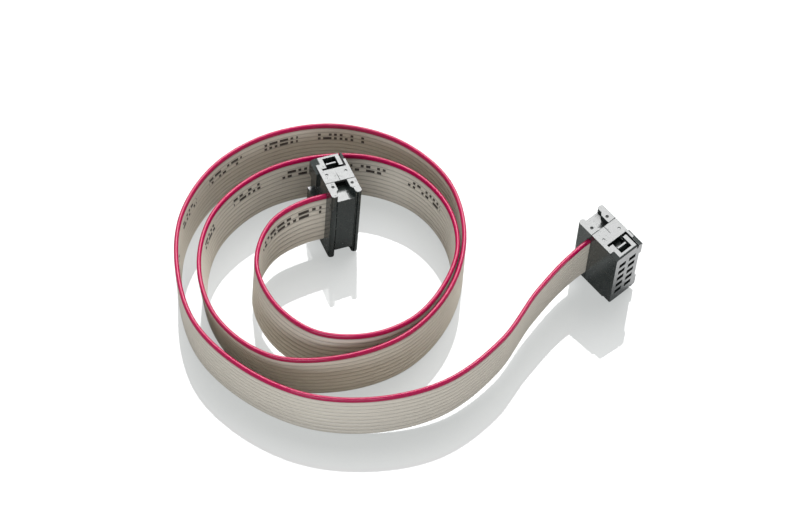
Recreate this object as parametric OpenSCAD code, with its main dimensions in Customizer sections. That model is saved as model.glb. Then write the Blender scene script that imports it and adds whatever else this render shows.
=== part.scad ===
// Ribbon cable assembly: a flat cable stands on edge in a loose coil, and each
// end is crimped in a two-row insulation-displacement socket.
//
// Each socket is drawn in its own frame: X runs across the two contact rows and
// along the cable, Y is the mating direction with the crimp joint at Y = 0, and
// Z is the long side, with the socket standing on its end at Z = 0. The key is
// on the -X side.

/* [Ribbon] */
// Thickness of the flat cable
ribbon_t = 0.9; // [0.7:0.05:1.1]
// Chamfer along the cable's four edges
ribbon_chamfer = 0.25; // [0.1:0.05:0.3]
// Clearance between the cable and the socket halves around it
ribbon_gap = 0.02; // [0.01:0.01:0.08]
// How far the cut ends sit inside the socket's side
ribbon_inset = 0.1; // [0:0.05:0.5]

/* [Socket body] */
// Length of the socket along its contact rows
socket_len = 17.3; // [17:0.1:24]
// Width of the socket across its contact rows, without the key
socket_w = 6.2; // [5.8:0.1:8]
// Depth of the body from the crimp joint to the mating face
body_depth = 7.3; // [6.1:0.1:9]
// Width of a contact opening across the rows
opening_w = 1.7; // [1.5:0.05:1.75]
// Height of a contact opening along the rows
opening_h = 1.36; // [1.2:0.02:1.6]
// Length of the key along the socket
key_len = 4.4; // [3:0.1:6]
// How far the key stands out
key_out = 1.2; // [0.6:0.1:1.6]
// Length of the rib at each end of the keyed side
rib_len = 3.6; // [2:0.1:4.2]
// How far each end rib stands out
rib_out = 0.5; // [0.2:0.1:0.8]
// Depth of the slopes at the mating corners of each end face
corner_step = 0.45; // [0.2:0.05:0.8]
// Bevel along the mating edge of each end face
mating_bevel = 0.3; // [0.1:0.05:0.4]

/* [Socket cover] */
// Depth of the cover from the crimp joint to the tips of its rails
cover_depth = 3.9; // [3.2:0.1:5]
// How far the panel between the rails is recessed
floor_drop = 0.15; // [0.1:0.05:0.5]
// Width of each rail at its tip
rail_w = 1.3; // [1:0.05:1.4]
// Width of the cover's latch legs
leg_w = 2; // [1.6:0.1:2.2]
// Thickness of the latch legs
leg_t = 0.5; // [0.4:0.05:0.7]
// Clearance around each latch leg
leg_gap = 0.1; // [0.05:0.05:0.15]

/* [Contacts] */
// Thickness of the contact strip
contact_t = 0.22; // [0.15:0.01:0.25]
// Width of the contact beams
beam_w = 1; // [0.7:0.05:1.1]
// Length of the contact beams
beam_len = 4.3; // [3:0.1:4.6]
// Width of each cutting tine
tine_w = 0.36; // [0.25:0.01:0.4]
// Slot between the two tines, which holds the conductor
tine_slot = 0.3; // [0.25:0.01:0.4]
// Clearance around each contact
contact_gap = 0.04; // [0.02:0.01:0.1]

/* [Hidden] */
// Standard spacings: conductors in the cable, and contacts in the socket
conductors = 10;
conductor_pitch = 1.27;
contact_pitch = 2.54;
columns = conductors / 2;
ribbon_w = conductors * conductor_pitch;

mid_z = socket_len / 2;
ribbon_z = mid_z - ribbon_w / 2;
half_t = ribbon_t / 2;
// The cable lies in a channel in the cover, flat against the body
ribbon_y = -half_t - ribbon_gap;
seam = 0.02;
fuse = 0.05;

// The latch leg runs just outside the cable's edge
leg_z = ribbon_w / 2 + ribbon_gap + leg_gap;
leg_len = 6.1;
hook_len = 1.1;
hook_top = 0.35;
hook_recess = 0.25;
window_w = 4.6;
window_y = 3.5;
window_len = 3;
band_len = 0.5;
band_depth = 1.2;
slit_w = 0.4;
slit_in = 0.75;
pocket_w = leg_w + 0.6;
pocket_wall = 0.45;

// The panel of the cover, between the rails, stops short of their ends
panel_y = cover_depth - floor_drop;
panel_half = leg_z + leg_t;
panel_w = socket_w - 2 * rail_w + 2 * fuse;
pocket_floor = 0.35;
groove_w = 0.3;
groove_depth = 0.5;
groove_in = 0.75;
groove_end = 0.3;
rail_round = 0.55;
rail_root = (socket_w - pocket_w) / 2;
rail_bend = 2.1;

dimple_r = 0.3;
dimple_depth = 0.15;
dimple_in = 1.1;
cover_dimple_y = -1.2;
body_dimple_y = 2.2;

corner_len = 2;
corner_w = 0.9;
key_y = 1.4;
key_depth = 4.6;
rib_y = 3.4;
parting_w = 0.1;
parting_len = 2;

// Contact: fork, seat and two beams
seat_y = 1.2;
past_wire = 1.55;
fork_reach = past_wire - ribbon_y;
tip_len = 0.45;
slot_floor = ribbon_y + half_t;
beam_x = opening_w / 2 - contact_gap - contact_t / 2;
pinch_x = 0.42;
flare_x = 0.56;
fork_w = 2 * tine_w + tine_slot;
seat_h = max(beam_w, 2 * fork_w / 3);

// Where each socket stands, its turn about Z, its lean about its own X as the
// cable's spring tips it back, and its dip, which raises the cable's side
inner_at = [-26.6, 1.7];
inner_turn = 24.5;
inner_lean = -4.5;
inner_dip = 3.5;
outer_at = [25.2, -1.6];
outer_turn = 223;
outer_lean = -5;
outer_dip = 5.5;
straight = 2.5;

// The cable from the inner socket to the outer one: X and Y of its middle, the
// height of its lower edge, and how far its top leans to the left, in degrees
free_route = [
    [-38.8, -6.2, 2.9, -1], [-41.5, -15.5, 2.3, 3], [-37.5, -24.5, 1.9, 4], [-29, -30.2, 1.5, 3],
    [-19, -30, 1, 3], [-10.4, -24.9, 0.4, 2], [-5, -16, 0.1, 0], [-2.9, -6.5, 0, -1],
    [-5.2, 3, 0, -1], [-11.5, 10.5, 0, 0], [-20.5, 14, 0, 0], [-30.5, 13.5, 0, 0],
    [-42, 8.5, 0, 0], [-50, -2, 0, -2], [-51, -15, 0, -5], [-46, -26, 0, -8],
    [-36, -33.5, 0, -6], [-23.5, -33.5, 0, -2], [-11.5, -27.8, 0, 0], [-3.9, -17, 0, 0],
    [-1.5, -3.5, 0, 0], [-5.5, 10, 0, 0], [-15, 19.2, 0, 3], [-28.5, 22.5, 0, 4],
    [-41.5, 18.5, 0, 2], [-51, 10, 0, 0], [-56.4, -3, 0, -1], [-55.7, -16, 0, -2],
    [-51, -28, 0, -3], [-41.5, -37, 0, -3], [-29.5, -42.2, 0, -3], [-16, -42.5, 0.4, -2],
    [-4, -38.3, 1.1, -2], [6, -28.5, 1.9, -3], [12.3, -17, 2.6, -4]
];

SIDES = ["inner", "outer"];
PINS = [for (i = [1 : conductors]) i];

$fn = 48;

/////////////////////////// route of the cable ///////////////////////////

side_x = socket_w / 2;

// The cable's frame where it runs along a direction: to its left, and up its width
function beside(run) = [-run.y, run.x, 0] / norm([run.x, run.y]);
function across(run, lean) = beside(run) * cos(lean) - cross(run, beside(run)) * sin(lean);
function upright(run, lean) = cross(run, beside(run)) * cos(lean) + beside(run) * sin(lean);

// The direction of a socket's own X axis
function axis(turn, dip) = [cos(dip) * cos(turn), cos(dip) * sin(turn), -sin(dip)];

// The corners of a socket's lower end face, and the lift that sets them on the floor
feet = [
    for (way = [-1, 1])
        each [
            [way * side_x, -cover_depth], [way * side_x, body_depth - corner_len],
            [way * (side_x - corner_w), body_depth - mating_bevel]
        ]
];
function lift(lean, dip) = max([for (p = feet) p.x * sin(dip) - p.y * cos(dip) * sin(lean)]);

// The cable in and beside a socket, some way along the socket's X axis
function held(at, turn, lean, dip, along) =
    let (run = -axis(turn, dip), base = [at.x, at.y, lift(lean, dip)])
    concat(base - run * along - across(run, lean) * ribbon_y + upright(run, lean) * ribbon_z, [lean]);
function inner_held(along) = held(inner_at, inner_turn, inner_lean, inner_dip, along);
function outer_held(along) = held(outer_at, outer_turn, outer_lean, outer_dip, along);

route = concat(
    [for (along = [side_x - ribbon_inset, -side_x, -side_x - straight]) inner_held(along)],
    free_route,
    [for (along = [side_x + straight, side_x, ribbon_inset - side_x]) outer_held(along)]
);
last = len(route) - 1;

function place(p) = [p.x, p.y, p.z];
function span(i) = norm(place(route[i + 1] - route[i]));
function chord(i) = (route[i + 1] - route[i]) / span(i);
function slope(i) =
    i == 0 ? chord(0)
    : i == last ? chord(last - 1)
    : (chord(i - 1) * span(i) + chord(i) * span(i - 1)) / (span(i - 1) + span(i));

// A smooth curve through the route's points, and its direction
function point_on(i, t) =
    route[i] * (2 * t * t * t - 3 * t * t + 1)
    + slope(i) * span(i) * (t * t * t - 2 * t * t + t)
    + route[i + 1] * (3 * t * t - 2 * t * t * t)
    + slope(i + 1) * span(i) * (t * t * t - t * t);
function run_on(i, t) =
    (route[i] - route[i + 1]) * (6 * t * t - 6 * t)
    + slope(i) * span(i) * (3 * t * t - 4 * t + 1)
    + slope(i + 1) * span(i) * (3 * t * t - 2 * t);

steps = 2;
stations = concat(
    [for (i = [0 : last - 1]) for (k = [0 : steps - 1]) [point_on(i, k / steps), run_on(i, k / steps)]],
    [[route[last], slope(last)]]
);

// Outline of the cable's section: across its thickness, and up its width
section = let (c = ribbon_chamfer, t = half_t, w = ribbon_w) [
    [-t, c], [c - t, 0], [t - c, 0], [t, c],
    [t, w - c], [t - c, w], [c - t, w], [-t, w - c]
];
sides = len(section);

// The section at one station, raised where an edge would reach below the floor
function ring(s) =
    let (
        run = place(s[1]) / norm(place(s[1])),
        out = across(run, s[0][3]),
        up = upright(run, s[0][3]),
        points = [for (p = section) place(s[0]) + out * p.x + up * p.y],
        low = min([for (p = points) p.z])
    )
    [for (p = points) p + [0, 0, max(0, -low)]];

module swept_ribbon() {
    rings = len(stations);
    points = [for (s = stations) each ring(s)];
    walls = [
        for (r = [0 : rings - 2]) for (k = [0 : sides - 1])
            let (a = r * sides + k, b = r * sides + (k + 1) % sides)
            each [[a, b, b + sides], [a, b + sides, a + sides]]
    ];
    first_cap = [for (k = [sides - 1 : -1 : 0]) k];
    last_cap = [for (k = [0 : sides - 1]) (rings - 1) * sides + k];
    polyhedron(points, concat([first_cap], walls, [last_cap]), convexity = 10);
}

///////////////////////////// shared places //////////////////////////////

// Stands a socket's own frame on the floor
module stand(name) {
    at = name == "inner" ? inner_at : outer_at;
    turn = name == "inner" ? inner_turn : outer_turn;
    lean = name == "inner" ? inner_lean : outer_lean;
    dip = name == "inner" ? inner_dip : outer_dip;
    translate([at.x, at.y, lift(lean, dip)]) rotate([lean, dip, turn]) children();
}

// A box by its middle in X, its low corner in Y, and its middle in Z
module block(x, y, z, size) {
    translate([x - size.x / 2, y, z - size.z / 2]) cube(size);
}

// Repeats its children at both ends of a socket
module both_ends() {
    children();
    translate([0, 0, socket_len]) mirror([0, 0, 1]) children();
}

// Odd conductors go to the -X row and even ones to the +X row
function row_x(i) = (i % 2 == 1 ? -1 : 1) * contact_pitch / 2;
function column_z(i) = mid_z + (ceil(i / 2) - (columns + 1) / 2) * contact_pitch;
function wire_z(i) = mid_z + (i - (conductors + 1) / 2) * conductor_pitch;
// Conductor 1 is the marked one, and lies at the top of a standing socket
function pin(i) = conductors + 1 - i;

/////////////////////////////// the parts ////////////////////////////////

module ribbon_cable() {
    color([0.66, 0.63, 0.58])
    difference() {
        swept_ribbon();
        for (s = SIDES) stand(s) for (i = PINS) tine_holes(i);
    }
}

// The two holes that a contact's tines cut on either side of a conductor
module tine_holes(i) {
    hole = [contact_t + 2 * contact_gap, ribbon_t + 2 * fuse, tine_w + 2 * contact_gap];
    for (side = [-1, 1])
        block(row_x(i), ribbon_y - half_t - fuse, wire_z(i) + side * (tine_slot + tine_w) / 2, hole);
}

module dimples(y) {
    for (side = [-1, 1])
        translate([side * (side_x - dimple_in), y, socket_len - dimple_depth])
            cylinder(r = dimple_r, h = 1);
}

// The slit beside the latch window is on one side only, +X (1) or -X (-1)
module socket_body(slit_way) {
    color([0.2, 0.22, 0.22])
    difference() {
        union() {
            block(0, seam / 2, mid_z, [socket_w, body_depth - seam / 2, socket_len]);
            block(-side_x - key_out / 2 + fuse, key_y, mid_z,
                [key_out + 2 * fuse, key_depth, key_len]);
            both_ends() end_rib();
        }
        for (i = PINS) contact_cavity(i);
        both_ends() latch_pocket();
        both_ends() latch_window(slit_way);
        both_ends() corner_slopes();
        both_ends() end_bevel();
        both_ends() parting_mark();
        both_ends() dimples(body_dimple_y);
    }
}

// The rib at each end of the keyed side, whose end carries on the slope of the corner
module end_rib() {
    far = side_x + rib_out;
    translate([0, body_depth, 0]) rotate([90, 0, 0]) linear_extrude(body_depth - rib_y)
        polygon([
            [fuse - side_x, corner_step], [-side_x, corner_step],
            [-far, corner_step * (corner_w + rib_out) / corner_w],
            [-far, corner_step + rib_len], [fuse - side_x, corner_step + rib_len]
        ]);
}

// The channel in the cover that holds the cable against the body
module ribbon_channel() {
    deep = ribbon_t + 2 * ribbon_gap;
    block(0, -deep, mid_z, [socket_w + 2, deep + 1, ribbon_w + 2 * ribbon_gap]);
}

module contact_cavity(i) {
    block(row_x(i), seat_y - contact_gap, column_z(i), [opening_w, body_depth, opening_h]);
    fork_len = seat_y + contact_t / 2 + contact_gap;
    fork = [contact_t + 2 * contact_gap, fork_len, fork_w + 2 * contact_gap];
    block(row_x(i), 0, wire_z(i), fork);
}

// The pocket that the cover's leg runs down, behind a thin end wall
module latch_pocket() {
    deep = mid_z - leg_z + leg_gap - pocket_wall;
    long = window_y + window_len;
    block(0, -1, pocket_wall + deep / 2, [pocket_w, long + 1, deep]);
}

// The window that the leg's hook fills, with a band across it and a slit beside it
module latch_window(slit_way) {
    block(0, window_y, 0, [pocket_w, window_len, 2 * (pocket_wall + fuse)]);
    block(0, window_y, 0, [window_w, band_len, 2 * band_depth]);
    block(slit_way * (side_x - slit_in), window_y, 0,
        [slit_w, body_depth - window_y + 1, 2 * band_depth]);
}

module corner_slopes() {
    edge = side_x - corner_w;
    far = side_x + rib_out + 1;
    drop = corner_step * (far - edge) / corner_w;
    for (way = [0, 1]) mirror([way, 0, 0])
        translate([0, body_depth + 1, 0]) rotate([90, 0, 0]) linear_extrude(corner_len + 1)
            polygon([[edge, -1], [edge, 0], [far, drop], [far, -1]]);
}

module end_bevel() {
    edge = body_depth - mating_bevel;
    far = body_depth + 1;
    translate([-socket_w, 0, 0]) rotate([90, 0, 90]) linear_extrude(2 * socket_w)
        polygon([[edge, -1], [edge, 0], [body_depth, mating_bevel], [far, mating_bevel], [far, -1]]);
}

module parting_mark() {
    block(0, -fuse, 0, [parting_w, parting_len, 2 * parting_w]);
}

module socket_cover() {
    color([0.2, 0.22, 0.22])
    difference() {
        union() {
            rail();
            mirror([1, 0, 0]) rail();
            block(0, -panel_y, mid_z, [panel_w, panel_y - seam / 2, 2 * panel_half]);
            both_ends() latch_leg();
        }
        ribbon_channel();
        for (i = PINS) fork_pocket(i);
        translate([side_x - groove_in - groove_w, -cover_depth - 1, groove_end])
            cube([groove_w, groove_depth + 1, socket_len - 2 * groove_end]);
        both_ends() dimples(cover_dimple_y);
    }
}

// A full-length rail, which narrows from the joint to a rounded tip
module rail() {
    r = min(rail_round, rail_w / 2 - 0.05);
    inside = side_x - rail_w;
    root = side_x - rail_root;
    linear_extrude(socket_len) union() {
        translate([inside, r - cover_depth]) square([rail_w, cover_depth - r - seam / 2]);
        translate([inside + r, -cover_depth]) square([rail_w - 2 * r, r + fuse]);
        for (x = [inside + r, side_x - r]) translate([x, r - cover_depth]) circle(r);
        polygon([
            [root, -seam / 2], [root, -rail_bend], [inside, -rail_bend - (inside - root)],
            [inside + fuse, -rail_bend - (inside - root)], [inside + fuse, -seam / 2]
        ]);
    }
}

// A leg's hook has a ramp that leads it in, and a flat shoulder that latches in the window
module latch_leg() {
    z = mid_z - leg_z - leg_t;
    shoulder = leg_len - hook_len;
    block(0, -2 * seam, z + leg_t / 2, [leg_w, leg_len + 2 * seam, leg_t]);
    translate([leg_w / 2, 0, 0]) rotate([0, -90, 0]) linear_extrude(leg_w)
        polygon([
            [z + fuse, leg_len], [z + fuse, shoulder],
            [hook_recess, shoulder], [hook_recess, shoulder + hook_top]
        ]);
}

module fork_pocket(i) {
    pocket = [contact_t + 2 * contact_gap + 0.2, fork_reach + pocket_floor, fork_w + 0.2];
    block(row_x(i), -fork_reach - pocket_floor, wire_z(i), pocket);
}

// A fork that cuts into one conductor, and two beams behind one opening
module contact(i) {
    drop = wire_z(i) - column_z(i);
    color([0.8, 0.66, 0.34])
    translate([row_x(i), 0, column_z(i)]) {
        translate([-contact_t / 2, 0, drop]) rotate([90, 0, 90])
            linear_extrude(contact_t) fork_outline();
        block(0, seat_y, 0, [2 * beam_x + contact_t, contact_t, seat_h]);
        for (side = [-1, 1])
            translate([0, seat_y, -beam_w / 2]) linear_extrude(beam_w) beam_outline(side);
    }
}

module fork_outline() {
    half = fork_w / 2;
    slot = tine_slot / 2;
    tip = slot + tine_w / 2;
    polygon([
        [seat_y + contact_t / 2, -half], [tip_len - fork_reach, -half], [-fork_reach, -tip],
        [tip_len - fork_reach, -slot], [slot_floor, -slot],
        [slot_floor, slot], [tip_len - fork_reach, slot],
        [-fork_reach, tip], [tip_len - fork_reach, half], [seat_y + contact_t / 2, half]
    ]);
}

// Each beam bends in to grip the pin, and its tip flares out to lead it in
module beam_outline(side) {
    bend = [
        [beam_x, 0], [beam_x, 0.25 * beam_len], [pinch_x, 0.8 * beam_len],
        [pinch_x, 0.87 * beam_len], [flare_x, beam_len]
    ];
    half = contact_t / 2;
    polygon(concat(
        [for (p = bend) [side * (p.x - half), p.y]],
        [for (k = [len(bend) - 1 : -1 : 0]) [side * (bend[k].x + half), bend[k].y]]
    ));
}

/////////////////////////////// assembly /////////////////////////////////

ribbon_cable();
for (s = SIDES) {
    stand(s) socket_body(s == "inner" ? 1 : -1);
    stand(s) socket_cover();
    for (i = PINS)
        stand(s) contact(pin(i));
}
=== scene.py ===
"""Ribbon cable: the looks of a flat ten-way cable that stands on edge in a loose coil.

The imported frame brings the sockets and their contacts. The cable's lobed sheath, its
copper ends and the sockets' softened edges are modelled here around it.
"""

import math

import bmesh
import bpy
from bpy.props import FloatProperty, FloatVectorProperty, IntProperty, PointerProperty
from mathutils import Euler, Matrix, Vector


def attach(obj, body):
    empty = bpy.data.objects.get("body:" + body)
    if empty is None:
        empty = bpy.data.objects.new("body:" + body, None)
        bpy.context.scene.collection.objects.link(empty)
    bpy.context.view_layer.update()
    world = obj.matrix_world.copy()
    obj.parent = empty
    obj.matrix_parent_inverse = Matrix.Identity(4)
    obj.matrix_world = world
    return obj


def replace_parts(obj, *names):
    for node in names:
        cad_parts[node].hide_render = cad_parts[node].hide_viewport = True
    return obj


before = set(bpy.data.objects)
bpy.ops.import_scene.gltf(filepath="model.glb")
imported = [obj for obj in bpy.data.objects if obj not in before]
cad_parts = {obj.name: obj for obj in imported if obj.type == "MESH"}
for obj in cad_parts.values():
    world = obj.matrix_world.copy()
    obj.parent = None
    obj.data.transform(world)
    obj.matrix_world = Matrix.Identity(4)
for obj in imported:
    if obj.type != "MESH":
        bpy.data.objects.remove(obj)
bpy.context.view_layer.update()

bl_info = {
    "name": "Ribbon Cable",
    "version": (1, 0, 0),
    "blender": (4, 5, 0),
    "location": "3D View > Sidebar > Ribbon",
    "description": "Dresses a flat ribbon cable and its two crimped sockets",
    "category": "Object",
}

MM = 0.001

# ------------------------------------------------------------------ the sockets' and the cable's places

# Where each socket stands: X and Y of its own frame in mm, and how far it turns, leans and dips in degrees
SOCKETS = {
    "inner": {"at": (-26.6, 1.7), "turn": 24.5, "lean": -4.5, "dip": 3.5},
    "outer": {"at": (25.2, -1.6), "turn": 223, "lean": -5, "dip": 5.5},
}
# A socket's length, which stands upright, and half its width, in mm
SOCKET_LEN = 17.3
SOCKET_SIDE = 3.1
# The corners of a socket's lower end face that can touch the floor, in mm
FEET = [(way * x, y) for way in (-1, 1) for x, y in ((SOCKET_SIDE, -3.9), (SOCKET_SIDE, 5.3), (2.2, 7))]

# How far the cable runs straight before a socket and how far its cut ends lie inside, in mm
ENTRY_STRAIGHT = 2.5
END_INSET = 0.1
# The cable lies on the cover's side of the joint between a socket's halves, in mm
RIBBON_Y = -0.47
# The cable between the sockets: X, Y and height of the middle of its lower edge in mm,
# and how far its top leans to the left in degrees
FREE_ROUTE = [
    (-38.8, -6.2, 2.9, -1), (-41.5, -15.5, 2.3, 3), (-37.5, -24.5, 1.9, 4), (-29, -30.2, 1.5, 3),
    (-19, -30, 1, 3), (-10.4, -24.9, 0.4, 2), (-5, -16, 0.1, 0), (-2.9, -6.5, 0, -1),
    (-5.2, 3, 0, -1), (-11.5, 10.5, 0, 0), (-20.5, 14, 0, 0), (-30.5, 13.5, 0, 0),
    (-42, 8.5, 0, 0), (-50, -2, 0, -2), (-51, -15, 0, -5), (-46, -26, 0, -8),
    (-36, -33.5, 0, -6), (-23.5, -33.5, 0, -2), (-11.5, -27.8, 0, 0), (-3.9, -17, 0, 0),
    (-1.5, -3.5, 0, 0), (-5.5, 10, 0, 0), (-15, 19.2, 0, 3), (-28.5, 22.5, 0, 4),
    (-41.5, 18.5, 0, 2), (-51, 10, 0, 0), (-56.4, -3, 0, -1), (-55.7, -16, 0, -2),
    (-51, -28, 0, -3), (-41.5, -37, 0, -3), (-29.5, -42.2, 0, -3), (-16, -42.5, 0.4, -2),
    (-4, -38.3, 1.1, -2), (6, -28.5, 1.9, -3), (12.3, -17, 2.6, -4),
]

# ------------------------------------------------------------------ settings


class CableSettings(bpy.types.PropertyGroup):
    conductors: IntProperty(
        name="Conductors", description="Conductors side by side", default=10, min=2, max=64)
    pitch: FloatProperty(
        name="Pitch", description="Distance between conductors",
        default=1.27 * MM, unit="LENGTH", precision=5)
    thickness: FloatProperty(
        name="Thickness", description="Thickness over a conductor",
        default=0.9 * MM, unit="LENGTH", precision=5)
    web: FloatProperty(
        name="Web", description="Thickness of the web between conductors",
        default=0.2 * MM, unit="LENGTH", precision=5)
    lobe: FloatProperty(
        name="Lobe", description="Half the width of a conductor's lobe",
        default=0.61 * MM, unit="LENGTH", precision=5)
    ring_step: FloatProperty(
        name="Ring step", description="Distance between the sheath's rings",
        default=1.1 * MM, unit="LENGTH", precision=5)
    grey: FloatVectorProperty(
        name="Sheath", description="Colour of the sheath",
        subtype="COLOR", size=3, default=(0.5, 0.46, 0.39))
    marked: FloatVectorProperty(
        name="Marked conductor", description="Colour of the first conductor",
        subtype="COLOR", size=3, default=(0.3, 0.0005, 0.048))
    ink: FloatVectorProperty(
        name="Ink", description="Colour of the printed marks",
        subtype="COLOR", size=3, default=(0.03, 0.022, 0.016))
    copper: FloatVectorProperty(
        name="Copper", description="Colour of the cut strands",
        subtype="COLOR", size=3, default=(0.8, 0.42, 0.25))


class SocketSettings(bpy.types.PropertyGroup):
    edge: FloatProperty(
        name="Edge", description="Width of the softened edges",
        default=0.09 * MM, unit="LENGTH", precision=5)
    plastic: FloatVectorProperty(
        name="Plastic", description="Colour of the moulded halves",
        subtype="COLOR", size=3, default=(0.014, 0.018, 0.017))
    metal: FloatVectorProperty(
        name="Contacts", description="Colour of the contacts",
        subtype="COLOR", size=3, default=(0.75, 0.6, 0.36))


class StageSettings(bpy.types.PropertyGroup):
    key: FloatProperty(
        name="Softbox", description="Radiance of the softbox above and behind", default=11.0)
    front: FloatProperty(
        name="Front card", description="Radiance of the low card in front", default=5.6)
    sky: FloatProperty(
        name="Sky", description="Brightness of the surroundings", default=0.28)
    shade: FloatProperty(
        name="Table", description="Share of light that the table gives back where it is seen",
        default=0.15)
    glow: FloatVectorProperty(
        name="Table glow", description="Light that comes up through the table where it is seen",
        subtype="COLOR", size=3, default=(0.476, 0.49, 0.485))


# ------------------------------------------------------------------ shader expressions


class Wire:
    """A shader socket that Python expressions can use."""

    def __init__(self, finish, socket):
        self.finish = finish
        self.socket = socket

    def math(self, operation, *others):
        return self.finish.calculate(operation, self, *others)

    def __add__(self, other):
        return self.math("ADD", other)

    def __sub__(self, other):
        return self.math("SUBTRACT", other)

    def __mul__(self, other):
        return self.math("MULTIPLY", other)

    def __truediv__(self, other):
        return self.math("DIVIDE", other)

    def __mod__(self, other):
        return self.math("FLOORED_MODULO", other)

    def __lt__(self, other):
        return self.math("LESS_THAN", other)

    def __gt__(self, other):
        return self.math("GREATER_THAN", other)

    def __rsub__(self, other):
        return self.finish.calculate("SUBTRACT", other, self)

    def __rtruediv__(self, other):
        return self.finish.calculate("DIVIDE", other, self)

    def __rmod__(self, other):
        return self.finish.calculate("FLOORED_MODULO", other, self)

    __radd__ = __add__
    __rmul__ = __mul__

    def beside(self, out):
        """Another output of the node that this one comes from."""
        return Wire(self.finish, self.socket.node.outputs[out])

    def floor(self):
        return self.math("FLOOR")

    def size(self):
        return self.math("ABSOLUTE")


class Finish:
    """Builds the nodes of one material or world."""

    def __init__(self, owner):
        owner.use_nodes = True
        self.owner = owner
        self.tree = owner.node_tree
        self.tree.nodes.clear()

    def add(self, kind, settings=None, sockets=None, out=0):
        """Adds a node: its settings first, then the values or links of its sockets."""
        node = self.tree.nodes.new(kind)
        for name, value in (settings or {}).items():
            if name == "stops":
                self.set_stops(node.color_ramp, value)
            elif name == "ramp":
                node.color_ramp.interpolation = value
            else:
                setattr(node, name, value)
        for key, value in (sockets or {}).items():
            socket = node.inputs[key]
            if isinstance(value, Wire):
                self.tree.links.new(value.socket, socket)
            else:
                socket.default_value = value
        if len(node.outputs) == 0:
            return node
        return Wire(self, node.outputs[out])

    @staticmethod
    def set_stops(ramp, stops):
        while len(ramp.elements) < len(stops):
            ramp.elements.new(1.0)
        for element, (place, shade) in zip(ramp.elements, stops):
            element.position = place
            element.color = shade

    def calculate(self, operation, *values):
        return self.add("ShaderNodeMath", {"operation": operation}, dict(enumerate(values)))

    def place(self):
        """The point's place on its piece, in metres."""
        return self.add("ShaderNodeTexCoord", out="Object")

    def noise(self, scale, detail=2.0):
        """Soft noise from 0 to 1: how many waves it has to a metre, and how much finer detail."""
        return self.add("ShaderNodeTexNoise", {}, {"Vector": self.place(), "Scale": scale, "Detail": detail})

    def mapped(self, name):
        """The two values of a UV map."""
        first = self.add("ShaderNodeSeparateXYZ", {}, {0: self.add("ShaderNodeUVMap", {"uv_map": name})})
        return first, first.beside(1)

    def rays(self):
        """Whether a ray comes straight from the camera, and whether it is a reflection."""
        seen = self.add("ShaderNodeLightPath", out="Is Camera Ray")
        return seen, seen.beside("Is Glossy Ray")

    def blend(self, share, low, high):
        """The colour that lies a share of the way from the low one to the high one."""
        return self.add("ShaderNodeMix", {"data_type": "RGBA"}, {0: share, 6: low, 7: high}, out=2)

    def tint(self, share, shade, low, high):
        """A colour that lies between two shares of itself."""
        return self.blend(share, opaque(shade, low), opaque(shade, high))

    def fade(self, value, start, full):
        """Rises smoothly from 0 at start to 1 at full."""
        if start > full:
            return 1.0 - self.fade(value, full, start)
        settings = {"interpolation_type": "SMOOTHSTEP"}
        return self.add("ShaderNodeMapRange", settings, {0: value, 1: start, 2: full, 3: 0.0, 4: 1.0})

    def bump(self, height, strength, distance):
        """The normals of a surface that is raised by a height from 0 to 1, over a distance in metres."""
        return self.add("ShaderNodeBump", {}, {"Strength": strength, "Distance": distance, "Height": height})

    def surface(self, **sockets):
        """Closes the material: the sockets of its shader, by their names."""
        names = {key.replace("_", " "): value for key, value in sockets.items()}
        shader = self.add("ShaderNodeBsdfPrincipled", {}, names)
        self.add("ShaderNodeOutputMaterial", {}, {"Surface": shader})
        return self.owner


def opaque(shade, factor=1.0):
    """A colour with its alpha, made darker or lighter by a factor."""
    red, green, blue = (min(1.0, part * factor) for part in shade)
    return (red, green, blue, 1.0)


def new_finish(name):
    return Finish(bpy.data.materials.new(name))


# ------------------------------------------------------------------ making pieces


def to_piece(bm, name, finishes):
    """Makes the bmesh a piece of the one body, with its materials."""
    mesh = bpy.data.meshes.new(name)
    bm.to_mesh(mesh)
    bm.free()
    piece = bpy.data.objects.new(name, mesh)
    bpy.context.scene.collection.objects.link(piece)
    for finish in finishes:
        mesh.materials.append(finish)
    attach(piece, "root")
    return piece


def socket_place(name):
    """The matrix that stands a socket's own frame on the floor."""
    pose = SOCKETS[name]
    lean, dip, turn = (math.radians(pose[key]) for key in ("lean", "dip", "turn"))
    lift = max(x * math.sin(dip) - y * math.cos(dip) * math.sin(lean) for x, y in FEET)
    place = Matrix.Translation((pose["at"][0] * MM, pose["at"][1] * MM, lift * MM))
    return place @ Euler((lean, dip, turn)).to_matrix().to_4x4()


# ------------------------------------------------------------------ camera


class RIBBON_OT_camera(bpy.types.Operator):
    """Places the camera that looks down on the coil"""

    bl_idname = "ribbon.camera"
    bl_label = "Camera"

    place = (-13.6 * MM, -295.3 * MM, 400.6 * MM)
    lens = 112.5
    sensor = 36
    nearest = 10 * MM
    # It looks down by 53.9 degrees, and leans to one side by 3.6
    tilt = math.radians(90 - 53.9)
    roll = math.radians(3.6)

    def execute(self, context):
        data = bpy.data.cameras.new("camera")
        data.lens = self.lens
        data.sensor_width = self.sensor
        data.clip_start = self.nearest
        camera = bpy.data.objects.new("camera", data)
        turn = Matrix.Rotation(self.tilt, 4, "X") @ Matrix.Rotation(self.roll, 4, "Z")
        camera.matrix_world = Matrix.Translation(self.place) @ turn
        context.scene.collection.objects.link(camera)
        context.scene.camera = camera
        return {"FINISHED"}


# ------------------------------------------------------------------ cable


def cable_frame(run, lean):
    """Across the cable to the left of its run, and up its width, where it leans by some degrees."""
    left = Vector((-run.y, run.x, 0)).normalized()
    up = run.normalized().cross(left)
    lean = math.radians(lean)
    return left * math.cos(lean) - up * math.sin(lean), up * math.cos(lean) + left * math.sin(lean)


def lower_edge(cable):
    """Height of the cable's lower edge in a socket's own frame, which holds it in the middle."""
    return (SOCKET_LEN * MM - cable.conductors * cable.pitch) / 2


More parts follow.
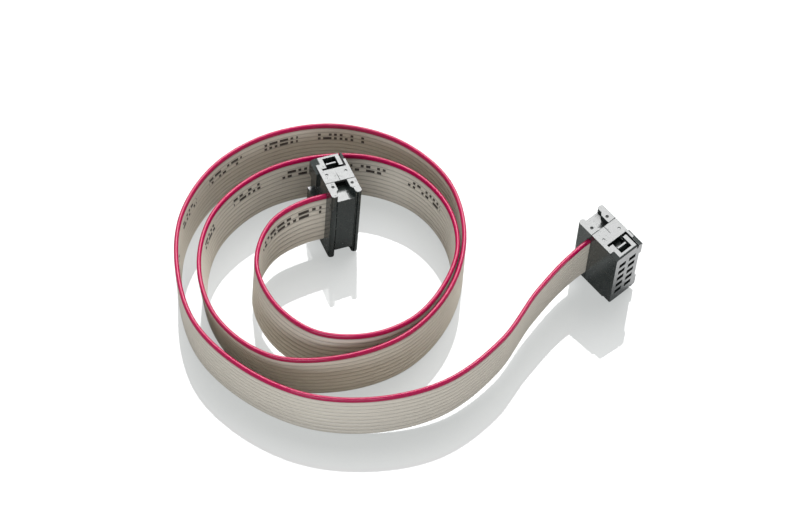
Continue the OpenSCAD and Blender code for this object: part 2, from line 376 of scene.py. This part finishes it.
def cable_route(cable):
    """The route from cut end to cut end: place in metres and lean in degrees, four values a point."""

    def held(name, along):
        point = socket_place(name) @ Vector((along * MM, RIBBON_Y * MM, lower_edge(cable)))
        return Vector((*point, SOCKETS[name]["lean"]))

    cut, side, free = SOCKET_SIDE - END_INSET, SOCKET_SIDE, SOCKET_SIDE + ENTRY_STRAIGHT
    start = [held("inner", along) for along in (cut, -side, -free)]
    finish = [held("outer", along) for along in (free, side, -cut)]
    return start + [Vector((x * MM, y * MM, z * MM, lean)) for x, y, z, lean in FREE_ROUTE] + finish


def smooth_line(points, step, outline):
    """Stations about a step apart on the smooth curve: lower edge, across and up, each above the floor."""
    last = len(points) - 1
    spans = [(points[i + 1] - points[i]).xyz.length for i in range(last)]
    chords = [(points[i + 1] - points[i]) / spans[i] for i in range(last)]
    slopes = [chords[0]]
    for i in range(1, last):
        slopes.append((chords[i - 1] * spans[i] + chords[i] * spans[i - 1]) / (spans[i - 1] + spans[i]))
    slopes.append(chords[-1])
    line = []
    for i in range(last):
        count = max(2, round(spans[i] / step))
        for k in range(count + (i == last - 1)):
            t = k / count
            # The cubic curve through both points with their slopes, and which way it runs
            point = (
                points[i] * (2 * t**3 - 3 * t**2 + 1)
                + slopes[i] * spans[i] * (t**3 - 2 * t**2 + t)
                + points[i + 1] * (3 * t**2 - 2 * t**3)
                + slopes[i + 1] * spans[i] * (t**3 - t**2)
            )
            run = (
                (points[i] - points[i + 1]) * (6 * t**2 - 6 * t)
                + slopes[i] * spans[i] * (3 * t**2 - 4 * t + 1)
                + slopes[i + 1] * spans[i] * (3 * t**2 - 2 * t)
            )
            across, up = cable_frame(run.xyz, point.w)
            low = min(point.z + across.z * x + up.z * z for x, z in outline)
            line.append((point.xyz + Vector((0, 0, max(0, -low))), across, up))
    return line


def path_lengths(line):
    """How far along the lower edge each station is."""
    along = [0.0]
    for (here, _, _), (there, _, _) in zip(line, line[1:]):
        along.append(along[-1] + (there - here).length)
    return along


# Points of the sheath that are closer than this, in metres, are one point
TOUCH = 1e-7
# How far the marked finish reaches down from its lobe's foot, as a share of the pitch
MARKED_REACH = 0.1
# The directions in which a lobe's points lie, and those on the rounded edge of an outer lobe
LOBE_ANGLES = [math.radians(a) for a in (-80, -53, -27, 0, 27, 53, 80)]
EDGE_ANGLES = [math.radians(a) for a in (27, 44, 58, 70, 80, 87)]


def sheath_section(cable):
    """The sheath's outline from the lower edge up one side and down the other: (across, up)."""
    half = cable.thickness / 2
    last = cable.conductors - 1
    side = []
    for i in range(cable.conductors):
        middle = (i + 0.5) * cable.pitch
        angles = LOBE_ANGLES
        if i == 0:
            angles = [-a for a in reversed(EDGE_ANGLES)] + [a for a in angles if a >= 0]
        if i == last:
            angles = [a for a in angles if a <= 0] + EDGE_ANGLES
        for angle in angles:
            outer = (i == 0 and angle < 0) or (i == last and angle > 0)
            reach = cable.pitch / 2 if outer else cable.lobe
            side.append((half * math.cos(angle), middle + reach * math.sin(angle)))
        if i < last:
            side.append((cable.web / 2, middle + cable.pitch / 2))
    return [(-x, z) for x, z in side] + [(x, z) for x, z in reversed(side)]


def swept_sheath(cable, outline, line, along):
    """The closed sheath through its stations, with the marked lobe and its cut ends in the second finish."""
    rings, around = len(line), len(outline)
    marked_low = (cable.conductors - 1) * cable.pitch
    bm = bmesh.new()
    uv = bm.loops.layers.uv.new("cable")
    bmesh.ops.create_grid(bm, x_segments=rings - 1, y_segments=around, size=1)
    bm.verts.index_update()
    # The station and the outline's point of each corner of the grid
    cells = {}
    for vert in bm.verts:
        ring = round((vert.co.x + 1) / 2 * (rings - 1))
        row = round((vert.co.y + 1) / 2 * around)
        cells[vert.index] = (ring, row)
    for face in bm.faces:
        heights = []
        for loop in face.loops:
            ring, row = cells[loop.vert.index]
            heights.append(outline[row % around][1])
            # The second half of the outline is the other side, where the height runs negative
            way = 1 if row < around / 2 else -1
            loop[uv].uv = (along[ring], way * heights[-1])
        face.material_index = 1 if min(heights) > marked_low - MARKED_REACH * cable.pitch else 0
    # The points at the foot of the marked lobe, at either cut end
    feet = {0: [], rings - 1: []}
    for vert in bm.verts:
        ring, row = cells[vert.index]
        place, across, up = line[ring]
        x, z = outline[row % around]
        vert.co = place + across * x + up * z
        if ring in feet and abs(z - marked_low) < TOUCH:
            feet[ring].append(vert)
    bmesh.ops.remove_doubles(bm, verts=bm.verts, dist=TOUCH)
    ends = bmesh.ops.holes_fill(bm, edges=[edge for edge in bm.edges if edge.is_boundary])
    cuts = set(ends["faces"])
    for pair in feet.values():
        bmesh.ops.connect_verts(bm, verts=pair)
        halves = [face for face in pair[0].link_faces if pair[1] in face.verts]
        min(halves, key=lambda face: len(face.verts)).material_index = 1
        cuts.update(halves)
    bmesh.ops.recalc_face_normals(bm, faces=bm.faces)
    for face in bm.faces:
        face.smooth = face not in cuts
    return bm


class RIBBON_OT_cable(bpy.types.Operator):
    """Sweeps the lobed sheath along its route"""

    bl_idname = "ribbon.cable"
    bl_label = "Cable"

    def execute(self, context):
        cable = context.scene.ribbon_cable
        outline = sheath_section(cable)
        line = smooth_line(cable_route(cable), cable.ring_step, outline)
        along = path_lengths(line)
        finishes = [sheath_finish(cable), marked_finish(cable)]
        piece = to_piece(swept_sheath(cable, outline, line, along), "cable_sheath", finishes)
        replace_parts(piece, "ribbon_cable")
        middle = cable.conductors * cable.pitch / 2
        path = [place + up * middle for place, _, up in line]
        return {"FINISHED"}


# A conductor's seven strands: one in the middle and six around it, in mm
STRAND_RADIUS = 0.063
STRAND_LENGTH = 0.06
STRANDS = [(0, 0)] + [
    (2 * STRAND_RADIUS * math.cos(math.radians(a)), 2 * STRAND_RADIUS * math.sin(math.radians(a)))
    for a in range(0, 360, 60)
]


class RIBBON_OT_strands(bpy.types.Operator):
    """Sets the cut copper strands in both ends of the cable"""

    bl_idname = "ribbon.strands"
    bl_label = "Strands"

    def execute(self, context):
        cable = context.scene.ribbon_cable
        radius = STRAND_RADIUS * MM
        lying = Matrix.Rotation(math.pi / 2, 4, "Y")
        bm = bmesh.new()
        for name, way in (("inner", 1), ("outer", -1)):
            cut = way * (SOCKET_SIDE - END_INSET) * MM
            for i in range(cable.conductors):
                middle = lower_edge(cable) + (i + 0.5) * cable.pitch
                for across, up in STRANDS:
                    centre = Vector((cut, (RIBBON_Y + across) * MM, middle + up * MM))
                    bmesh.ops.create_cone(
                        bm, cap_ends=True, segments=8, radius1=radius, radius2=radius,
                        depth=STRAND_LENGTH * MM,
                        matrix=socket_place(name) @ Matrix.Translation(centre) @ lying)
        to_piece(bm, "copper_strands", [metal_finish("cut_copper", cable.copper, rough=0.3)])
        return {"FINISHED"}


# The grooves between lobes carry painted shade: their share of the sheath's colour, how strongly they are
# darkened, and where that starts and is full, from 0 on a lobe's crown to 1 down in the grooves
GROOVE_SHADE_TONE = 0.3
GROOVE_SHADE_SHARE = 0.7
GROOVE_SHADE_FADE = (0.68, 0.98)
# The streaks of the grey and the marked sheath: how many to a metre, and how dark and light
# they make the colour, as shares of it
GREY_STREAKS, GREY_TINTS = 60.0, (0.93, 1.06)
MARKED_STREAKS, MARKED_TINTS = 80.0, (0.85, 1.1)
# How rough each sheath is at least, and how much rougher its fine grain makes it
GREY_ROUGH, GREY_SPREAD = 0.36, 0.12
MARKED_ROUGH, MARKED_SPREAD = 0.12, 0.06
# The fine grain of both sheaths, how deep it is in metres, and how strongly it shows on each
SHEATH_GRAIN = 2500.0
SHEATH_DEPTH = 0.00003
GREY_BUMP, MARKED_BUMP = 0.15, 0.05


def sheath_finish(cable):
    """Satin grey sheath with faint streaks, painted shade in its grooves and printed dashes."""
    finish = new_finish("grey_sheath")
    along, across = finish.mapped("cable")
    lobe = ((across.size() / cable.pitch) % 1.0 - 0.5).size() * 2.0
    groove_shade = finish.fade(lobe, *GROOVE_SHADE_FADE)
    tone = finish.tint(finish.noise(GREY_STREAKS, 3.0), cable.grey, *GREY_TINTS)
    # Painted shade: the grooves between the lobes are darkened where shade falls in them
    tone = finish.blend(groove_shade * GROOVE_SHADE_SHARE, tone, opaque(cable.grey, GROOVE_SHADE_TONE))
    tone = finish.blend(print_mask(finish, cable, along, across), tone, opaque(cable.ink))
    fine = finish.noise(SHEATH_GRAIN)
    rough = fine * GREY_SPREAD + GREY_ROUGH
    return finish.surface(
        Base_Color=tone, Roughness=rough, Normal=finish.bump(fine, GREY_BUMP, SHEATH_DEPTH), IOR=1.5)


# Groups of printed dashes in mm: where each starts and ends along the cable, repeated
PRINT_GROUPS = [(7, 21), (100, 110), (114, 122), (127, 136), (141, 148), (154, 161)]
PRINT_PERIOD = 180
# The lobes that carry dashes, counted from the cable's upper edge, where the marked one is 1
PRINT_LOBES = (3, 4)
# How far apart dashes start and how long they are, in mm
DASH_PITCH = 2.3
DASH_LEN = 1.8
# Half of a dash's height as a share of the pitch, and half of the gap in the middle of some, in mm
DASH_HALF = 0.31
DASH_GAP = DASH_LEN / 6
# The share of dashes with only their second half, which is also that of those with only their
# first, and the share of dashes without a gap
HALF_SHARE = 0.15
WHOLE_SHARE = 0.45
NO_PRINT, PRINT = (0, 0, 0, 1), (1, 1, 1, 1)


def print_mask(finish, cable, along, across):
    """Short dashes on the crowns of two lobes below the marked one, on the inner side only."""
    cell = along / (DASH_PITCH * MM)
    column = (cell % 1.0) * DASH_PITCH
    # The inner side's across values run negative
    height = across * (-1.0 / cable.pitch)
    row = height.floor()
    code = finish.add("ShaderNodeCombineXYZ", {}, {0: cell.floor(), 1: row, 2: 0.0})
    chance = finish.add("ShaderNodeTexWhiteNoise", {"noise_dimensions": "2D"}, {"Vector": code})
    start = (chance < HALF_SHARE) * (DASH_LEN / 2)
    end = DASH_LEN - (chance > 1 - HALF_SHARE) * (DASH_LEN / 2)
    whole = (column - DASH_LEN / 2).size() > (chance > WHOLE_SHARE) * DASH_GAP
    dash = (column > start) * (column < end) * whole
    crown = ((height % 1.0) - 0.5).size() < DASH_HALF
    first, last = PRINT_LOBES
    rows = (row < cable.conductors - first + 0.5) * (row > cable.conductors - last - 0.5)
    stops = [(0.0, NO_PRINT)]
    for low, high in PRINT_GROUPS:
        stops += [(low / PRINT_PERIOD, PRINT), (high / PRINT_PERIOD, NO_PRINT)]
    turn = (along % (PRINT_PERIOD * MM)) / (PRINT_PERIOD * MM)
    groups = finish.add("ShaderNodeValToRGB", {"ramp": "CONSTANT", "stops": stops}, {0: turn})
    shown = finish.add("ShaderNodeSeparateColor", {}, {0: groups})
    return dash * crown * rows * shown


def marked_finish(cable):
    """The marked conductor's glossier sheath."""
    finish = new_finish("marked_sheath")
    tone = finish.tint(finish.noise(MARKED_STREAKS, 3.0), cable.marked, *MARKED_TINTS)
    fine = finish.noise(SHEATH_GRAIN)
    rough = fine * MARKED_SPREAD + MARKED_ROUGH
    return finish.surface(
        Base_Color=tone, Roughness=rough, Normal=finish.bump(fine, MARKED_BUMP, SHEATH_DEPTH), IOR=1.36)


# ------------------------------------------------------------------ sockets


# The two round ejector marks on each end of a cover in mm: how far from the socket's middle and
# from its joint, and how far from its centre a mark starts and is at full strength
MARK_X, MARK_Y = 2.0, -1.2
MARK_FADE = (0.42, 0.2)
# How far from the joint its line of painted shade starts and is at full strength, in mm
JOINT_FADE = (0.12, 0.05)
# How dark the painted shade in the joint and in the ejector marks is, as a share of the plastic's colour
PAINTED_SHADE_TONE = 0.3
# The plastic's fine grain, its blotches and its pits: how many to a metre, how dark and light the
# grain makes the colour, and where in their noise the pits start and are full
PLASTIC_GRAIN, PLASTIC_TINTS = 3200.0, (0.8, 1.3)
BLOTCHES = 900.0
PITS, PIT_FADE = 2100.0, (0.58, 0.8)
# How rough the plastic is at least, and how much its blotches, its pits, its joint and its ejector marks add
PLASTIC_ROUGH, BLOTCH_ROUGH, PIT_ROUGH, DULL_ROUGH = 0.08, 0.2, 0.3, 0.6
# How high the grain stands and how low the pits lie, how deep that is in metres, and how strongly it shows
PLASTIC_RELIEF, PLASTIC_DEPTH, PLASTIC_BUMP = 0.6, 0.00004, 0.35
# The metals' fine grain: how much of it to a metre, and how much rougher it makes them
METAL_GRAIN, METAL_SPREAD = 1500.0, 0.15


def plastic_finish(socket):
    """Moulded plastic with a fine grain and scuffs, rougher in its joint and in its ejector marks, which are
    also darkened with painted shade.
    """
    finish = new_finish("moulded_plastic")
    grain = finish.noise(PLASTIC_GRAIN, 3.0)
    blotch = finish.noise(BLOTCHES, 3.0)
    pits = finish.fade(finish.noise(PITS, 3.0), *PIT_FADE)
    across, depth = (place / MM for place in finish.mapped("socket"))
    side = across.size() - MARK_X
    lower = depth - MARK_Y
    mark = finish.fade(side * side + lower * lower, MARK_FADE[0] ** 2, MARK_FADE[1] ** 2)
    joint = finish.fade(depth.size(), *JOINT_FADE)
    dull_painted_shade = mark.math("MAXIMUM", joint)
    tone = finish.tint(grain, socket.plastic, *PLASTIC_TINTS)
    # Painted shade: the joint between the halves and the ejector marks are darkened where shade falls in
    # them
    tone = finish.blend(dull_painted_shade, tone, opaque(socket.plastic, PAINTED_SHADE_TONE))
    rough = blotch * BLOTCH_ROUGH + pits * PIT_ROUGH + dull_painted_shade * DULL_ROUGH + PLASTIC_ROUGH
    height = (grain - pits) * PLASTIC_RELIEF
    return finish.surface(
        Base_Color=tone, Roughness=rough, Normal=finish.bump(height, PLASTIC_BUMP, PLASTIC_DEPTH), IOR=1.6)


def metal_finish(name, shade, rough):
    """Bare metal with a fine grain."""
    finish = new_finish(name)
    rough = finish.noise(METAL_GRAIN) * METAL_SPREAD + rough
    return finish.surface(Base_Color=opaque(shade), Metallic=1.0, Roughness=rough)


# A socket's corners that are closer than this, in metres, are one corner. Faces that meet at less
# than the flat angle are one face, and edges sharper than the sharp angle are softened
WELD = 2e-6
FLAT_ANGLE = math.radians(1)
SHARP_ANGLE = math.radians(30)


def softened_copy(node, width):
    """A bmesh of a CAD node with its edges softened."""
    bm = bmesh.new()
    bm.from_mesh(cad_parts[node].data)
    bmesh.ops.remove_doubles(bm, verts=bm.verts, dist=WELD)
    bmesh.ops.dissolve_limit(bm, angle_limit=FLAT_ANGLE, verts=bm.verts, edges=bm.edges)
    sharp = [edge for edge in bm.edges if edge.is_manifold and edge.calc_face_angle(0) > SHARP_ANGLE]
    bmesh.ops.bevel(
        bm, geom=sharp, offset=width, offset_type="OFFSET", segments=2, profile=0.5, affect="EDGES",
        clamp_overlap=True, material=-1)
    return bm


def map_socket(bm, name):
    """Keeps each point's place across the socket and from its joint in a UV map."""
    uv = bm.loops.layers.uv.new("socket")
    inward = socket_place(name).inverted()
    for face in bm.faces:
        for loop in face.loops:
            loop[uv].uv = (inward @ loop.vert.co).xy


class RIBBON_OT_sockets(bpy.types.Operator):
    """Gives both sockets softened edges and their finish"""

    bl_idname = "ribbon.sockets"
    bl_label = "Sockets"

    def execute(self, context):
        socket = context.scene.ribbon_socket
        plastic = plastic_finish(socket)
        for name in SOCKETS:
            for half in ("body", "cover"):
                node = f"{name}_socket_{half}"
                bm = softened_copy(node, socket.edge)
                map_socket(bm, name)
                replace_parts(to_piece(bm, f"{name}_{half}", [plastic]), node)
        return {"FINISHED"}


class RIBBON_OT_contacts(bpy.types.Operator):
    """Gives the contacts their metal"""

    bl_idname = "ribbon.contacts"
    bl_label = "Contacts"

    def execute(self, context):
        metal = metal_finish("contact_metal", context.scene.ribbon_socket.metal, rough=0.25)
        for name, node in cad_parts.items():
            if "contact" in name:
                node.data.materials.clear()
                node.data.materials.append(metal)
        return {"FINISHED"}


# ------------------------------------------------------------------ stage


# The middle of the coil, which both lamps point to, and the lamps' places and sizes, in metres
COIL_MIDDLE = (-0.012, -0.012, 0)
SOFTBOX_PLACE, SOFTBOX_SIZE = (0.04, 0.53, 0.88), (0.9, 0.9)
CARD_PLACE, CARD_SIZE = (-0.16, -1.1, 0.42), (0.9, 0.45)
CARD_SHADE = (0.96, 1, 1.06)
# How much brighter the surroundings are in reflections
MIRRORED_SKY = 0.4
TABLE_RADIUS = 3.0
TABLE_ROUGH = 0.02
# The table's colour as it lights the pieces, and as they mirror it under the coil, where it is darkened as
# painted shadow, and right of it
TABLE_TONE = (0.72, 0.72, 0.72)
COIL_SHADOW_TONE = (0.2, 0.21, 0.205)
RIGHT_TONE = (0.85, 0.85, 0.85)
# The X in metres at which the mirrored colour starts to change from the painted shadow, and at which it is
# the right one
TABLE_FADE = (0.018, 0.04)


def area_light(name, place, size, radiance, shade=(1, 1, 1)):
    """Adds a flat lamp that points at the coil's middle."""
    data = bpy.data.lights.new(name, "AREA")
    data.shape = "RECTANGLE"
    data.size, data.size_y = size
    # A flat lamp of radiance L gives off L x area x pi
    data.energy = radiance * size[0] * size[1] * math.pi
    data.color = shade
    lamp = bpy.data.objects.new(name, data)
    away = Vector(place) - Vector(COIL_MIDDLE)
    lamp.matrix_world = Matrix.Translation(place) @ away.to_track_quat("Z", "Y").to_matrix().to_4x4()
    bpy.context.scene.collection.objects.link(lamp)


def surroundings(stage):
    """A plain white world: full to the camera, dimmer in reflections and dimmest as light."""
    world = bpy.data.worlds.new("surroundings")
    finish = Finish(world)
    seen, mirrored = finish.rays()
    strength = seen * (1.0 - stage.sky) + mirrored * MIRRORED_SKY + stage.sky
    shader = finish.add("ShaderNodeBackground", {}, {"Color": (1, 1, 1, 1), "Strength": strength})
    finish.add("ShaderNodeOutputWorld", {}, {"Surface": shader})
    return world


def table_finish(stage):
    """White acrylic on a lit ground where it is seen, and a plain surface to all other rays, which in
    reflections is darkened under the coil as painted shadow.
    """
    finish = new_finish("table_acrylic")
    seen, mirrored = finish.rays()
    beside = finish.fade(finish.add("ShaderNodeSeparateXYZ", {}, {0: finish.place()}), *TABLE_FADE)
    # Painted shadow: in reflections the table is darker under the coil than to its right
    tone = finish.blend(beside, opaque(COIL_SHADOW_TONE), opaque(RIGHT_TONE))
    tone = finish.blend(mirrored, opaque(TABLE_TONE), tone)
    white = finish.add("ShaderNodeBsdfPrincipled", {}, {"Base Color": tone, "Roughness": TABLE_ROUGH})
    lit = finish.add("ShaderNodeBsdfPrincipled", {}, {
        "Base Color": opaque([stage.shade] * 3), "Roughness": TABLE_ROUGH, "IOR": 1.49,
        "Emission Color": opaque(stage.glow), "Emission Strength": 1.0})
    both = finish.add("ShaderNodeMixShader", {}, {0: seen, 1: white, 2: lit})
    finish.add("ShaderNodeOutputMaterial", {}, {"Surface": both})
    return finish.owner


class RIBBON_OT_stage(bpy.types.Operator):
    """Lays the glossy white table and lights it"""

    bl_idname = "ribbon.stage"
    bl_label = "Stage"

    def execute(self, context):
        stage = context.scene.ribbon_stage
        bm = bmesh.new()
        bmesh.ops.create_circle(bm, cap_ends=True, segments=96, radius=TABLE_RADIUS)
        mesh = bpy.data.meshes.new("table")
        bm.to_mesh(mesh)
        bm.free()
        table = bpy.data.objects.new("table", mesh)
        context.scene.collection.objects.link(table)
        mesh.materials.append(table_finish(stage))
        area_light("softbox", SOFTBOX_PLACE, SOFTBOX_SIZE, stage.key)
        area_light("front_card", CARD_PLACE, CARD_SIZE, stage.front, CARD_SHADE)
        context.scene.world = surroundings(stage)
        context.scene.view_settings.view_transform = "Standard"
        return {"FINISHED"}


# ------------------------------------------------------------------ add-on


class RIBBON_PT_pieces(bpy.types.Panel):
    """Lists the pieces of the cable"""

    bl_idname = "RIBBON_PT_pieces"
    bl_label = "Ribbon Cable"
    bl_space_type = "VIEW_3D"
    bl_region_type = "UI"
    bl_category = "Ribbon"

    def draw(self, context):
        for operator in OPERATORS:
            self.layout.operator(operator.bl_idname)


SETTINGS = {"ribbon_cable": CableSettings, "ribbon_socket": SocketSettings, "ribbon_stage": StageSettings}
OPERATORS = [
    RIBBON_OT_camera, RIBBON_OT_cable, RIBBON_OT_strands,
    RIBBON_OT_sockets, RIBBON_OT_contacts, RIBBON_OT_stage,
]


def register():
    for cls in [*SETTINGS.values(), *OPERATORS, RIBBON_PT_pieces]:
        bpy.utils.register_class(cls)
    for name, group in SETTINGS.items():
        setattr(bpy.types.Scene, name, PointerProperty(type=group))


def unregister():
    for name in SETTINGS:
        delattr(bpy.types.Scene, name)
    for cls in [RIBBON_PT_pieces, *reversed(OPERATORS), *reversed(SETTINGS.values())]:
        bpy.utils.unregister_class(cls)


def main():
    register()
    bpy.ops.ribbon.camera()
    bpy.ops.ribbon.cable()
    bpy.ops.ribbon.strands()
    bpy.ops.ribbon.sockets()
    bpy.ops.ribbon.contacts()
    bpy.ops.ribbon.stage()


if __name__ == "__main__":
    main()
